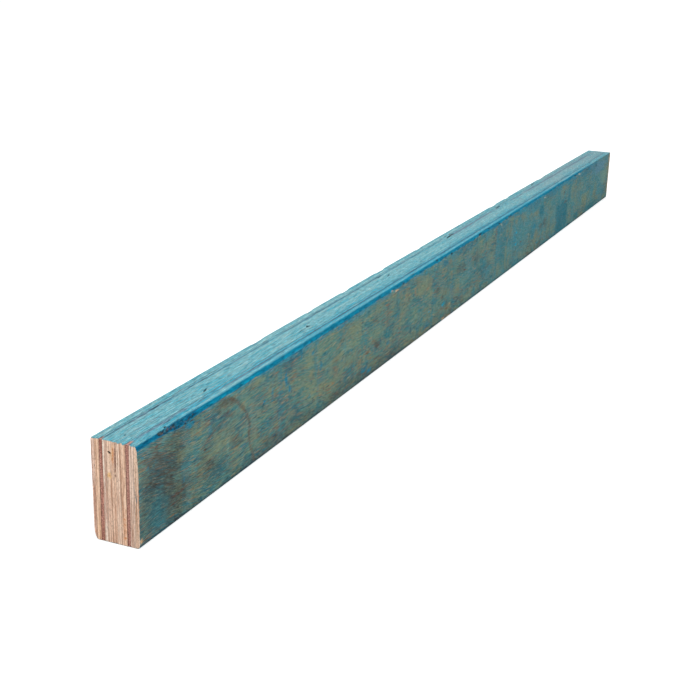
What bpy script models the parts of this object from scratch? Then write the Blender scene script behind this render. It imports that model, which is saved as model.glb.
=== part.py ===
"""Laminated veneer lumber (LVL) timber for scaffolding and formwork, 95 x 47 x 1800 mm.

The timber is a billet of eleven rotary-peeled veneers, pressed flat with phenolic glue and
ripped to a 2 : 1 section. Nine veneers have their grain along the timber. The third from each
broad side is a cross-band, whose grain runs up the section and keeps the timber flat.

Frame: metres, +Z up. The timber stands on a narrow edge, with its length along X and the
veneers stacked along Y. The origin is the middle of the edge that it stands on. The bare
sawn end is at -X, and the broad side that was sealed last is at -Y.
"""

import math

import bmesh
import bpy

# Driving dimensions, in metres
LENGTH = 1.800
THICKNESS = 0.047  # across the veneers, along Y
HEIGHT = 0.095  # along Z
GLUE_FILM = 0.0002  # cured glue between two veneers
CLEARANCE = 0.0003  # between a glue film and the veneer on each side of it
GLUE_SETBACK = 0.0005  # how far a glue film stops short of the ends and edges
CROSSBAND_SETBACK = 0.0004  # a cross-band doesn't swell with damp, so its edges lie lower
BUTT_GAP = 0.0025  # between the two sheets of the split cross-band
BUTT_X = -0.012  # where along the timber that gap is

# Each long arris as worn is a quarter of an ellipse: (side along Y, end along Z) to its width
# and height at the bare end, then at the far end, in metres
ARRISES = {
    (1, 1): ((0.0012, 0.0012), (0.0012, 0.0012)),
    (-1, 1): ((0.0042, 0.0075), (0.0012, 0.0018)),
    (-1, -1): ((0.0030, 0.0040), (0.0024, 0.0030)),
    (1, -1): ((0.0055, 0.0110), (0.0055, 0.0110)),
}
ARRIS_STEPS = 6  # straight pieces in each rounded arris

# The veneers from +Y to -Y: name, pressed thickness in metres, kind
VENEERS = (
    ("face_veneer_back", 0.0035, "face"),
    ("core_veneer_02", 0.0046, "core"),
    ("crossband_veneer_03", 0.0036, "crossband"),
    ("core_veneer_04", 0.0040, "core"),
    ("core_veneer_05", 0.0046, "core"),
    ("core_veneer_06", 0.0047, "core"),
    ("core_veneer_07", 0.0044, "core"),
    ("core_veneer_08", 0.0049, "core"),
    ("crossband_veneer_09", 0.0036, "crossband"),
    ("core_veneer_10", 0.0044, "core"),
    ("face_veneer_front", 0.0047, "face"),
)
SPLIT_VENEER = "crossband_veneer_03"

# Finish of each kind of piece: colour, roughness, metallic
FINISHES = {
    "face": ((0.055, 0.165, 0.170, 1.0), 0.70, 0.0),
    "core": ((0.640, 0.440, 0.300, 1.0), 0.80, 0.0),
    "crossband": ((0.320, 0.150, 0.100, 1.0), 0.85, 0.0),
    "glue": ((0.060, 0.022, 0.015, 1.0), 0.55, 0.0),
}


def clear_scene():
    """Remove whatever objects the file holds."""
    for old in list(bpy.data.objects):
        bpy.data.objects.remove(old, do_unlink=True)


def make_material(kind):
    """Plain Principled material for one kind of piece."""
    colour, roughness, metallic = FINISHES[kind]
    material = bpy.data.materials.new(kind)
    material.use_nodes = True
    shader = material.node_tree.nodes["Principled BSDF"]
    shader.inputs["Base Color"].default_value = colour
    shader.inputs["Roughness"].default_value = roughness
    shader.inputs["Metallic"].default_value = metallic
    material.diffuse_color = colour
    return material


def section_outline(x, setback):
    """Outline of the whole section at x as (y, z) points, anticlockwise seen along -X.

    The narrow edges are set back, and each arris has its own width and height.
    """
    points = []
    share = x / LENGTH + 0.5
    corners = ((1, 1), (-1, 1), (-1, -1), (1, -1))
    for turn, corner in enumerate(corners):
        side, end = corner
        bare_end, far_end = ARRISES[corner]
        width, height = (a + share * (b - a) for a, b in zip(bare_end, far_end))
        centre_y = side * (THICKNESS / 2 - width)
        centre_z = HEIGHT / 2 + end * (HEIGHT / 2 - setback - height)
        for step in range(ARRIS_STEPS + 1):
            angle = (turn + step / ARRIS_STEPS) * math.pi / 2
            points.append((centre_y + width * math.cos(angle), centre_z + height * math.sin(angle)))
    return points


def clip(points, limit, keep_below):
    """The part of a convex outline on one side of the line y = limit."""
    sign = 1 if keep_below else -1
    kept = []
    for index, here in enumerate(points):
        before = points[index - 1]
        depth_here = sign * (limit - here[0])
        depth_before = sign * (limit - before[0])
        if depth_here * depth_before < 0:
            share = depth_before / (depth_before - depth_here)
            kept.append((limit, before[1] + share * (here[1] - before[1])))
        if depth_here >= 0:
            kept.append(here)
    return kept


def make_sheet(name, kind, y_range, x_range, setback):
    """One flat sheet: the section between two planes along Y, drawn from one x to another."""
    y_low, y_high = y_range
    mesh = bpy.data.meshes.new(name)
    sheet = bmesh.new()
    rings = []
    for x in x_range:
        outline = clip(clip(section_outline(x, setback), y_high, True), y_low, False)
        rings.append([sheet.verts.new((x - x_range[0], y, z)) for y, z in outline])
    start, end = rings
    sheet.faces.new(start)
    sheet.faces.new(end)
    for index in range(len(start)):
        sheet.faces.new((start[index - 1], start[index], end[index], end[index - 1]))
    bmesh.ops.connect_verts_nonplanar(sheet, angle_limit=math.radians(0.001), faces=sheet.faces)
    bmesh.ops.recalc_face_normals(sheet, faces=sheet.faces)
    sheet.to_mesh(mesh)
    sheet.free()
    mesh.materials.append(MATERIALS[kind])
    mesh.shade_smooth()
    mesh.set_sharp_from_angle(angle=math.radians(30))
    piece = bpy.data.objects.new(name, mesh)
    piece.location = (x_range[0], 0, 0)
    piece.parent = timber
    bpy.context.collection.objects.link(piece)
    return piece


def make_veneer(name, kind, y_range):
    """One veneer over the whole length, or its two sheets where it has a butt joint."""
    setback = CROSSBAND_SETBACK if kind == "crossband" else 0
    half = LENGTH / 2
    if name != SPLIT_VENEER:
        make_sheet(name, kind, y_range, (-half, half), setback)
        return
    make_sheet(name + "_near", kind, y_range, (-half, BUTT_X - BUTT_GAP / 2), setback)
    make_sheet(name + "_far", kind, y_range, (BUTT_X + BUTT_GAP / 2, half), setback)


def make_glue_film(number, y_middle):
    """The cured film between two veneers, just inside their edges and ends."""
    name = f"glue_line_{number:02d}_{number + 1:02d}"
    y_range = (y_middle - GLUE_FILM / 2, y_middle + GLUE_FILM / 2)
    half = LENGTH / 2 - GLUE_SETBACK
    setback = CROSSBAND_SETBACK + GLUE_SETBACK
    make_sheet(name, "glue", y_range, (-half, half), setback)


def make_timber():
    """All veneers and glue films, from the back face at +Y to the front face at -Y."""
    joint_allowance = GLUE_FILM / 2 + CLEARANCE
    y_back = THICKNESS / 2
    last = len(VENEERS)
    for number, (name, thickness, kind) in enumerate(VENEERS, start=1):
        y_front = y_back - thickness
        y_high = y_back - (joint_allowance if number > 1 else 0)
        y_low = y_front + (joint_allowance if number < last else 0)
        make_veneer(name, kind, (y_low, y_high))
        if number < last:
            make_glue_film(number, y_front)
        y_back = y_front


clear_scene()
MATERIALS = {kind: make_material(kind) for kind in FINISHES}
timber = bpy.data.objects.new("timber", None)
bpy.context.collection.objects.link(timber)
make_timber()
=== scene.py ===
"""Looks of a used laminated veneer timber: stained broad sides, painted edges, bare sawn ends."""

import math
from collections import namedtuple

import bpy
import numpy as np
from mathutils import Matrix, Vector


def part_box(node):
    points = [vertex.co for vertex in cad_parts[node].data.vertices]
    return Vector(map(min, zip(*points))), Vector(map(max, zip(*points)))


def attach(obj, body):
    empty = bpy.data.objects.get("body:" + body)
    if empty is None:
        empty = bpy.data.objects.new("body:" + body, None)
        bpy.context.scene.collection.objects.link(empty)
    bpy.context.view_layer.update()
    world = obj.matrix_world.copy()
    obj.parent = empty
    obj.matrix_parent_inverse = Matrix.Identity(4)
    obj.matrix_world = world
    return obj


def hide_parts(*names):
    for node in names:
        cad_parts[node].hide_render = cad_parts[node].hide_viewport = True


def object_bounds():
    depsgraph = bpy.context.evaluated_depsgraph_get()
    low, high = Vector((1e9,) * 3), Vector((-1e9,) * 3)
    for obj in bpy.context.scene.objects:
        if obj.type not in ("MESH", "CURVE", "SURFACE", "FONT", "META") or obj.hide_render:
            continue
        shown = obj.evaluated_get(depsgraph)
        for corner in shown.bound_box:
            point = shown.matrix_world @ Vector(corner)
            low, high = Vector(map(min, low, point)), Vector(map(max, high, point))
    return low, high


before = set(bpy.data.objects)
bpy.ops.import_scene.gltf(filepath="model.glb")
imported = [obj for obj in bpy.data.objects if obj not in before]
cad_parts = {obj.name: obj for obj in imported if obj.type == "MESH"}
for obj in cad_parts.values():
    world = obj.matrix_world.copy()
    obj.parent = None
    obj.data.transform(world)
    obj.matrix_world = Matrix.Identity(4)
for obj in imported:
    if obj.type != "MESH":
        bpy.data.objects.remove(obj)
cad_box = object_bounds()

MM = 0.001
LOW, HIGH = np.array(cad_box[0]), np.array(cad_box[1])
LENGTH, THICKNESS, HEIGHT = HIGH - LOW
HALF = THICKNESS / 2
LENGTH_MM = LENGTH / MM

# The veneers from the back face (+Y) to the front face (-Y). A ply may be in two sheets.
PLIES = (
    ("face_veneer_back",),
    ("core_veneer_02",),
    ("crossband_veneer_03_near", "crossband_veneer_03_far"),
    ("core_veneer_04",),
    ("core_veneer_05",),
    ("core_veneer_06",),
    ("core_veneer_07",),
    ("core_veneer_08",),
    ("crossband_veneer_09",),
    ("core_veneer_10",),
    ("face_veneer_front",),
)
LAST_PLY = len(PLIES) - 1
GLUE_HALF = 0.12 * MM  # half the thickness of a glue line as it shows
HAIRLINE = 0.01 * MM  # between a veneer and the glue line beside it
OUTER_ROWS, INNER_ROWS = 82, 181  # lattice rows up a face veneer and up any other sheet

# Each long arris is a quarter of an ellipse: (side along Y, end along Z) to its width and
# height in millimetres at the bare end, then at the far end
ARRISES = {
    (1, 1): ((1.0, 1.0), (1.0, 1.0)),
    (-1, 1): ((4.2, 7.5), (1.2, 1.8)),
    (-1, -1): ((3.0, 4.0), (2.4, 3.0)),
    (1, -1): ((5.5, 11.0), (5.5, 11.0)),
}

# Bare wood of each ply as sawn, in sRGB
SAWN_COLOURS = (
    (226, 192, 171),
    (230, 193, 164),
    (194, 138, 121),
    (240, 219, 201),
    (227, 194, 169),
    (227, 192, 166),
    (236, 207, 184),
    (232, 196, 168),
    (187, 136, 121),
    (224, 198, 178),
    (217, 187, 162),
)

# What each kind of mark does: its sRGB colour, how soft its border is (0 to 1), how square it is
# (2 is an oval), how strongly it covers and how deep it is in millimetres
Kind = namedtuple("Kind", "colour soft square cover depth", defaults=(2, 1.0, 0.0))
KINDS = {
    # shade is painted shade: a dark grey-brown laid where the front side should look darker
    "shade": Kind((64, 62, 58), 1.0, 3),
    "lagoon": Kind((62, 136, 150), 1.0, 3),
    "wash": Kind((28, 132, 162), 1.0, 4),
    "teal": Kind((36, 112, 124), 0.8, 3),
    "block": Kind((36, 112, 128), 0.25, 6),
    "slate": Kind((54, 116, 134), 0.9, 3),
    "dusk": Kind((86, 134, 152), 0.9, 3),
    "olive": Kind((124, 136, 108), 0.9, 3),
    "tan": Kind((118, 129, 110), 0.8, 3),
    "sage": Kind((118, 152, 138), 0.9, 3),
    "umber": Kind((84, 84, 76), 0.9),
    "navy": Kind((26, 84, 108), 0.7),
    "blue": Kind((24, 122, 150), 0.7),
    "cyan": Kind((0, 156, 190), 0.5, cover=1.3),
    "rust": Kind((92, 72, 64), 0.7),
    "rim": Kind((98, 88, 76), 0.5),
    "deep": Kind((0, 82, 118), 1.0, 3),
    "paint": Kind((84, 166, 184), 0.4, cover=1.3),
    "seam": Kind((70, 84, 106), 0.3, 4, cover=1.3, depth=0.2),
    "orange": Kind((156, 120, 84), 0.7),
    "cream": Kind((168, 166, 130), 0.6),
    "mint": Kind((122, 162, 148), 0.8),
    # haze is pale patches, and on the top's far end a painted reflection of light glancing off it
    "haze_and_sheen": Kind((140, 166, 172), 0.9, 3),
    # milk is pale streaks, and also a painted highlight along the top's front edge
    "milk_and_highlight": Kind((158, 202, 206), 0.8, 3),
    "azure": Kind((52, 158, 184), 0.9, 3),
    "violet": Kind((106, 124, 142), 0.8, 3),
    "ink": Kind((24, 54, 68), 0.5, cover=1.1, depth=0.35),
    "hole": Kind((14, 14, 16), 0.3, cover=1.7, depth=2.6),
    "pit": Kind((34, 56, 64), 0.5, cover=1.1, depth=0.7),
    "chip": Kind((214, 178, 138), 0.3, cover=1.5, depth=0.6),
    "pale": Kind((176, 186, 172), 0.4, cover=1.3, depth=0.4),
    "sand": Kind((178, 158, 126), 0.5, 4),
    "salmon": Kind((186, 136, 122), 0.4, cover=1.3, depth=0.3),
    "ochre": Kind((236, 194, 140), 0.7),
    "amber": Kind((208, 142, 98), 0.7),
    "bark": Kind((128, 84, 68), 0.6, depth=0.1),
    "rose": Kind((186, 128, 112), 0.8, 3),
}

# A mark's place, half length and half width are in millimetres. The place is (from the bare end,
# along Y) on the narrow edges, (from the bare end, up) on the broad sides and (along Y, up) on
# the ends. The amount scales its cover (0.5 where it isn't given), and the turn is in degrees.
Mark = namedtuple("Mark", "kind along across length width amount turn", defaults=(0.5, 0.0))

# The marks of the front side, seen in the photograph: (along, up, half length, half width,
# amount, turn). The washes and the painted shade lie below the paint line along the arris and the
# spots above it.
FRONT_WASHES_AND_SHADE = {
    # Painted shade: the front side darker near the bare end and towards the bottom
    "shade": ((30, 44, 120, 56, 0.66), (440, 6, 460, 16, 0.35)),
    "wash": ((450, 92, 470, 9), (1340, 92, 480, 12, 0.75)),
    "lagoon": ((1300, 50, 620, 70, 0.55), (1212, 80, 48, 13, 0.7), (1710, 44, 110, 60)),
    "olive": (
        (150, 52, 45, 18, 0.45), (75, 62, 18, 9), (215, 84, 22, 7, 0.4),
        (345, 74, 40, 14, 0.3), (450, 72, 34, 14), (440, 40, 28, 10, 0.35),
        (520, 80, 28, 8), (610, 62, 24, 20, 0.35), (680, 68, 40, 20, 0.65),
        (965, 72, 22, 12, 0.3), (1060, 28, 8, 26), (1320, 42, 32, 32, 0.4),
        (1350, 16, 14, 12), (1486, 64, 14, 16), (1590, 36, 38, 13),
        (1560, 62, 42, 12, 0.3), (1700, 15, 36, 8),
    ),
    "tan": (
        (705, 66, 12, 6, 0.8), (771, 71, 9, 4, 0.7), (1080, 66, 9, 16, 0.6),
        (1078, 20, 7, 16), (1020, 18, 20, 12), (1110, 76, 15, 6, 0.6),
        (1150, 76, 22, 9, 0.6), (1146, 12, 13, 4, 0.6), (1230, 68, 27, 6, 0.7),
        (1240, 32, 15, 9, 0.7), (1228, 20, 22, 9, 0.4), (1420, 82, 25, 7, 0.8),
        (291, 25, 11, 7, 0.6), (1786, 62, 12, 24, 0.6), (910, 72, 14, 10, 0.4),
    ),
    "sage": ((1750, 50, 46, 17), (990, 83, 9, 7), (200, 52, 16, 22, 0.25)),
    "umber": (
        (26, 74, 30, 15, 0.55), (148, 84, 28, 9, 0.7), (170, 38, 18, 8, 0.45),
        (118, 52, 18, 5, 0.4), (420, 70, 10, 4), (405, 9, 22, 8),
        (524, 36, 14, 7, 0.6), (512, 68, 13, 4), (536, 10, 14, 6),
        (740, 50, 20, 7), (760, 36, 11, 6, 0.6), (780, 20, 9, 9),
        (800, 8, 10, 6), (822, 20, 26, 4, 0.5, -12), (846, 10, 16, 7),
        (838, 60, 26, 11, 0.45), (908, 62, 16, 15, 0.4), (966, 38, 20, 10, 0.4),
        (950, 73, 8, 7, 0.6), (1190, 8, 10, 4, 0.7), (1268, 40, 22, 9),
        (1296, 40, 16, 10, 0.6), (1264, 10, 24, 8, 0.45), (1440, 54, 22, 2.2, 0.8),
        (1792, 18, 9, 18, 0.7), (1110, 24, 20, 8, 0.3),
    ),
    "teal": (
        (22, 26, 40, 26, 0.45), (130, 16, 40, 14, 0.4), (560, 40, 24, 13, 0.75),
        (588, 66, 16, 18, 0.4), (640, 80, 14, 9), (782, 60, 13, 34, 0.4),
        (940, 35, 17, 17, 0.4), (1332, 60, 30, 8, 0.3), (1530, 10, 34, 10, 0.7),
        (1652, 10, 62, 9, 0.85), (1440, 24, 24, 16), (360, 12, 14, 10, 0.4),
        (240, 24, 20, 10, 0.3), (1200, 40, 14, 14, 0.3), (1010, 30, 16, 14, 0.35),
    ),
    "block": (
        (1416, 28, 52, 34, 0.85), (1463, 66, 8, 27, 0.6), (1268, 66, 15, 12, 0.75),
        (1040, 50, 16, 40, 0.35), (347, 70, 5, 24, 0.4), (934, 50, 12, 4, 0.6),
    ),
    "slate": (
        (360, 40, 14, 6), (765, 83, 20, 8, 0.9), (814, 86, 24, 6, 0.7),
        (1230, 84, 40, 8, 0.8), (1190, 85, 18, 9, 0.8), (1336, 84, 46, 7, 0.6),
        (1040, 80, 34, 12), (1600, 84, 110, 9, 0.6), (1762, 18, 30, 13, 0.7),
        (880, 84, 20, 8), (985, 65, 8, 3, 0.7), (1500, 60, 22, 12, 0.35),
    ),
    "dusk": ((1706, 79, 98, 17, 1.4),),
    "mint": ((153, 38, 2.2, 9, 0.7), (430, 60, 18, 10, 0.25), (650, 33, 24, 3, 0.4)),
}
FRONT_SPOTS = {
    "blue": (
        (277, 67, 5, 12, 0.9), (285, 55, 4, 7, 0.7), (228, 59, 4, 2.2, 0.9),
        (246, 62, 4, 13, 0.4), (313, 82, 3, 9, 0.6), (341, 77, 5, 3, 0.7),
        (362, 57, 6, 8, 0.6), (352, 57, 4, 6), (335, 31, 4, 2.6, 0.8),
        (412, 86, 13, 3, 0.8), (436, 88, 3, 1.2, 0.9), (447, 50, 6, 2, 0.6),
        (454, 27, 3, 5), (486, 14, 13, 5, 0.7), (501, 9, 9, 4, 0.9),
        (561, 27, 9, 3, 0.7), (585, 55, 6, 2, 0.7), (716, 76, 5, 1.6, 0.9),
        (722, 25, 4, 1.6, 0.8), (653, 7, 6, 2, 0.7), (796, 40, 9, 10),
        (1225, 47, 11, 5, 0.7), (1215, 32, 11, 5), (186, 28, 9, 2, 0.6),
        (120, 68, 5, 6, 0.4), (14, 70, 3, 2, 0.6), (73, 37, 2, 4, 0.4),
        (700, 12, 14, 4, 0.4), (84, 85, 10, 4.4, 0.8), (1108, 50, 8, 20, 0.4),
    ),
    "navy": (
        (226, 57, 3, 1.6, 0.9), (262, 38, 7, 1.6, 0.8), (251, 15, 4, 1.6, 0.8),
        (152, 23, 3, 1.1, 0.8), (312, 88, 4, 4), (343, 24, 3, 3, 0.6),
        (905, 88, 7, 4, 0.6), (1135, 84, 7, 3, 0.7), (1135, 8, 7, 4, 0.6),
        (1675, 86, 10, 5, 0.6), (640, 22, 7, 5), (990, 14, 8, 3),
        (96, 48, 8, 3, 0.4), (100, 79, 4, 5), (1600, 90, 40, 2.5),
    ),
    "rust": (
        (62, 27.5, 15, 1.8, 0.85), (62, 20.5, 17, 1.1, 0.7), (150, 74, 10, 3, 0.6),
        (110, 51, 2.6, 1.9, 1.3), (345, 21, 6, 1.1, 0.6), (388, 75, 5, 1.1, 0.9),
        (475, 75, 5, 1.0, 0.9), (370, 27, 3, 1.4, 1.0), (383, 27, 8, 1.4, 0.7),
        (527, 33, 8, 1.2, 0.9), (525, 18, 15, 1.1, 0.9), (527, 63, 7, 2, 0.6),
        (853, 55, 10, 2.0, 1.1, -12), (1146, 36, 8, 2, 0.8), (1422, 73, 10, 1.3, 1.1),
        (1436, 53, 16, 1.2, 0.8), (243, 36, 4, 1.0, 0.8), (262, 10, 6, 1.1, 0.6),
        (20, 62, 12, 1.2, 0.6), (30, 84, 10, 1.0, 0.7), (1325, 59, 8, 1.6, 0.6),
        (180, 33, 14, 1.3), (945, 20, 8, 1.2, 0.6),
    ),
    "orange": (
        (395, 26, 5, 1.8, 0.8), (480, 25.5, 5, 1.1, 0.7), (652, 70, 4, 7, 0.4),
        (266, 60, 5, 1.0, 0.7), (280, 44, 6, 1.0, 0.6), (300, 88, 7, 0.9),
        (115, 76, 8, 0.9, 0.6), (618, 74, 7, 1.3), (1262, 5, 9, 2.0),
        (14, 8, 6, 1.2), (50, 10, 9, 0.9), (700, 63, 7, 2.0),
    ),
    "cream": (
        (402, 20.5, 8, 0.8, 0.9), (440, 18.8, 9, 0.8, 0.9), (466, 18, 6, 0.8, 0.9),
        (486, 18.3, 7, 0.8, 0.8), (242, 23, 5, 0.9, 0.9), (281, 19, 6, 0.8, 0.8),
        (352, 18, 6, 0.8, 0.6), (610, 12, 9, 0.9, 0.6), (560, 14, 14, 0.9),
        (208, 90, 8, 1.0, 0.6), (95, 64, 8, 1.0), (820, 32, 8, 1.0),
        (1190, 40, 5, 3), (650, 8, 8, 1.0),
    ),
    "cyan": (
        (1115, 57, 5, 2.8, 0.9), (1116, 38, 6, 2.8, 0.9), (764, 25, 8, 3.2, 0.75, 10),
        (708, 29, 4, 1.6, 0.7), (330, 91, 12, 1.2, 0.3),
    ),
    "ink": (
        (1016, 91, 7, 1.5, 1.1, -8), (1500, 92, 8, 1.5, 0.7, -8), (112, 50.5, 1.6, 1.3, 0.9),
        (608, 91.4, 5, 1.4, 1.0), (734, 93.6, 5, 1.2, 1.0), (793, 91.2, 6, 1.8, 1.1),
        (920, 93.0, 9, 1.4, 1.0), (963, 93.6, 6, 1.2, 1.0), (1070, 92.2, 9, 1.4, 0.8),
    ),
    "chip": (
        (585, 88, 9, 1.2, 1.0, -5), (570, 91, 5, 0.8, 0.5, -5), (768, 3.6, 8, 1.4, 0.8),
        (790, 2.6, 9, 1.0), (2, 7, 3, 2.6, 0.8),
    ),
    "pale": (
        (1027, 87, 7, 1.1, 0.8, -22), (1284, 86.5, 8, 1.1, 0.9, -8),
        (1530, 90, 16, 1.3, 0.8, -8),
    ),
    "sand": ((1799, 56, 5.5, 60, 1.1), (1796, 82, 8, 14, 0.9)),
    "deep": ((50, 92, 90, 4, 0.7),),
}

# The marks of the top edge: (along, along Y, half length, half width, amount, turn)
TOP_MARKS = {
    "azure": (
        (700, -18, 1100, 11, 0.8), (96, -18, 60, 2.0, 0.9), (1320, -20, 60, 2.4, 0.8),
        (480, 4, 60, 2.4), (560, -8, 80, 2.0, 0.4),
    ),
    # The first row is a painted reflection: the top paler and greyer towards the far end, where the
    # view grazes it
    "haze_and_sheen": (
        (1580, 4, 420, 24, 0.6), (60, 9.6, 70, 0.9), (980, 2, 160, 8, 0.3),
    ),
    # Pale streaks along the top; the rows at -19.4 and -19.0 mm are a painted highlight beside the
    # arris paint line
    "milk_and_highlight": (
        (700, 0.2, 700, 1.3), (560, 16.4, 560, 1.6, 0.6), (500, 8.2, 500, 1.1),
        (640, -19.4, 560, 0.8, 0.4), (170, -19.0, 170, 1.2, 0.8),
    ),
    "seam": (
        (430, 12.3, 440, 1.0, 1.0), (900, -14.8, 900, 1.3, 1.2), (60, 12.9, 70, 1.5),
    ),
    "violet": (
        (190, -15.6, 80, 1.4, 0.8),
        (40, -3, 44, 1.6, 0.35), (66, 13.2, 22, 1.3, 0.7), (980, 9.6, 150, 2.8, 1.0),
        (1400, 9.4, 290, 2.8, 1.0), (54, -12.6, 56, 2.2, 0.9), (1660, 9.4, 140, 2.8, 0.9),
        (1730, -12, 80, 2.6, 0.7),
    ),
    "umber": ((58, -21.4, 18, 1.5, 0.7), (1055, -22.4, 14, 1.4, 0.7), (20, 12.0, 10, 1.0)),
    "ink": (
        (9, -13.9, 5, 0.5, 0.9, 6), (3, 14.6, 4, 0.5, 0.8, 10), (356, -2.2, 18, 0.6, 0.8, 2),
        (145, -4.0, 8, 0.9, 0.9, 14), (84, 13.0, 9, 0.9, 0.8, 4), (1205, 22, 14, 1.2, 0.9, 2),
        (625, 4.4, 9, 1.2, 0.7, 12), (610, 11.0, 9, 1.0, 0.6, 5), (715, -5.8, 6, 1.2, 0.5, 10),
        (1350, 18.6, 17, 1.3, 1.2, 4), (165, 19.2, 6, 0.7, 0.7, 6), (186, 16, 6, 0.8, 0.6, 5),
        (645, -20.8, 14, 0.9, 0.6), (735, -21.4, 8, 0.9, 0.6), (950, -21.8, 12, 1.0, 0.7),
        (148, 13.6, 8, 0.8, 0.6), (740, 12.6, 16, 0.9), (50, 14.6, 10, 0.6),
    ),
    "pit": (
        (17, 0.6, 2.0, 1.2, 1.0), (48, -20.0, 2.6, 1.1, 1.0), (56, -21.2, 2.2, 1.0, 0.9),
        (68, -20.8, 2.8, 0.9, 0.9), (74, -21.6, 1.8, 0.9, 0.8),
    ),
    "hole": (
        (375, -0.8, 4.4, 2.2, 1.2, 16), (874, 10.2, 13, 1.5, 0.7, 4), (890, 11.2, 9, 1.5, 0.8, 5),
        (1121, 11.8, 13, 1.7, 0.7, 4),
    ),
    "salmon": ((1, 13.8, 6, 1.8, 1.0, 12), (3, -12.8, 8, 1.9, 1.0, 8), (22, -9.0, 9, 0.5, 0.4)),
}

# Where the back top edge is chipped away: (from the bare end, half length, depth) in mm
BACK_EDGE_CHIPS = (
    (300, 16, 0.6), (428, 10, 0.7), (528, 13, 1.5), (640, 17, 1.1), (780, 12, 0.8),
    (1128, 20, 1.5), (1205, 14, 1.1), (1420, 24, 1.0),
)
BACK_LEAN = 1.0 * MM  # how far the back side leans in at the bottom
FRONT_LEAN = 1.5 * MM  # how far the front side leans in at the top of the bare end
FRONT_LEAN_LENGTH = 90 * MM  # along the timber, until that lean has faded out

# The grain on the broad sides wanders up and down, and dips away from the bare end
GRAIN_WANDER = 14 * MM
GRAIN_DIP_LENGTH = 120 * MM

# The marks of the bare end: (along Y, up, half size along Y, half size up, amount, turn)
BARE_END_MARKS = {
    "rose": ((22.8, 50, 1.2, 60, 0.3), (10.6, 40, 1.0, 40, 0.25), (7, 30, 3, 16, 0.25)),
    "ochre": (
        (1.9, 87, 1.3, 7, 0.7), (5.4, 62.8, 2.8, 4.0, 1.2), (3.4, 81, 1.2, 5, 0.6),
        (17.4, 12, 1.4, 12, 0.4),
    ),
    "amber": (
        (-8.5, 25, 2.0, 1.3, 1.0, 12), (-8.6, 20.4, 1.9, 0.9, 0.8), (-9.2, 33, 2.0, 5, 0.4),
        (-9.0, 16, 2.2, 17, 0.6), (-8.8, 7.4, 2.0, 1.4, 0.9, -18), (1.5, 83, 1.3, 13, 0.9),
        (5.4, 63, 2.4, 0.6, 0.9), (-22.4, 40, 0.9, 34, 0.4), (2.4, 78.6, 0.6, 3.4, 0.8, 20),
        (20.6, 8, 1.0, 3, 0.6),
    ),
    "bark": (
        (-0.5, 78, 0.9, 17, 1.1), (1.0, 62, 0.45, 16), (1.7, 40, 0.4, 30, 0.4),
        (19.0, 60, 0.35, 36), (-6.0, 40, 0.35, 40, 0.35), (7.6, 34, 0.3, 38, 0.4),
        (-18.8, 50, 0.35, 46, 0.45), (3.4, 22, 0.35, 24, 0.4), (15.0, 46, 0.6, 60, 0.8),
        (-11.3, 46, 0.7, 60, 0.8), (22.8, 66, 0.8, 34),
    ),
    "paint": (
        (-4.2, 94.8, 1.7, 1.3, 1.0), (-8.9, 94.4, 1.8, 1.3, 1.0), (1.5, 95, 3, 0.9, 1.0),
        (20, 95, 3, 0.9, 0.9), (9, 95.2, 3, 0.7, 0.9), (-18, 94.6, 3, 1.0, 0.9),
    ),
    "slate": ((-20.4, 48, 0.7, 9, 0.8, -9),),
    "ink": (
        (20.4, 79.4, 0.55, 0.8, 0.7), (20.5, 69.3, 0.5, 0.7, 0.7), (20.4, 62.6, 0.5, 0.6, 0.6),
        (20.5, 36.5, 0.45, 1.0, 0.7), (-10.8, 88, 0.6, 1.2, 0.6), (-18.8, 61, 0.45, 0.7, 0.6),
        (-18.6, 20.5, 0.45, 0.7, 0.6), (14.8, 79.8, 0.5, 0.7, 0.6), (14.6, 66, 0.5, 0.8),
        (13.8, 24, 0.5, 1.0), (-18.5, 30, 0.4, 0.9), (-12.2, 11.6, 0.5, 1.0),
    ),
    "hole": ((5.5, 84.2, 2.1, 1.0, 1.2, 21),),
}

# The far end is out of sight and has a few marks of its own
FAR_END_MARKS = {
    "amber": ((9.0, 70, 2.0, 6, 0.6), (-6.4, 22, 1.8, 9)),
    "slate": ((12.0, 60, 9, 24, 0.25), (-15, 20, 8, 18, 0.3)),
    "bark": ((-3.0, 55, 0.5, 30), (17.8, 40, 0.4, 36)),
    "ink": ((-16.6, 74, 0.7, 1.4, 0.8), (3.2, 34, 0.6, 2.2, 0.8), (14.0, 12, 0.6, 1.0, 0.7)),
}

# The brown rim of a dried puddle on the front side, and a fainter one: (from the bare end, up)
PUDDLE_RIM = ((157, 86), (169, 79), (180, 71), (189, 62), (195, 52), (197, 42), (195, 34),
              (198, 24), (203, 13), (207, 4))
FAINT_RIM = ((104, 54), (117, 60), (131, 64), (148, 69), (166, 69))

# Pits where paint has flaked off the front top arris: how many, and between which places in mm
ARRIS_PITS = 84
ARRIS_PIT_RANGE = (34, 92)

# Strongest colours of the paint line along the front top arris
PAINT_LINE = ((0, 104, 134), (0, 118, 150), (0, 132, 163))

# Photograph: pinhole camera fitted to the timber's outline
CAMERA_PLACE = (-1.7068, -0.5546, 0.4970)
CAMERA_PITCH, CAMERA_YAW, CAMERA_ROLL = 18.174, 23.044, 1.827
PHOTO_WIDTH, FOCAL_PIXELS = 700, 1243
SENSOR_MM = 36.0

# The floor's grey, and how much whiter the camera alone sees it
FLOOR_SIZE = 40
FLOOR_GREY = 0.80
FLOOR_GLOW = 0.55

# Light on the timber: the even fill from all round, then each softbox's place, aim, size in
# metres and power in watts
WORLD_FILL = 0.62
SOFTBOXES = {
    "key_softbox": ((-1.9, -1.6, 2.2), (-0.4, 0, 0.05), 1.6, 34),
    "top_softbox": ((0.2, 0.6, 2.4), (0.0, 0, 0.05), 2.4, 22),
}


# ---- repeatable noise


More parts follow.
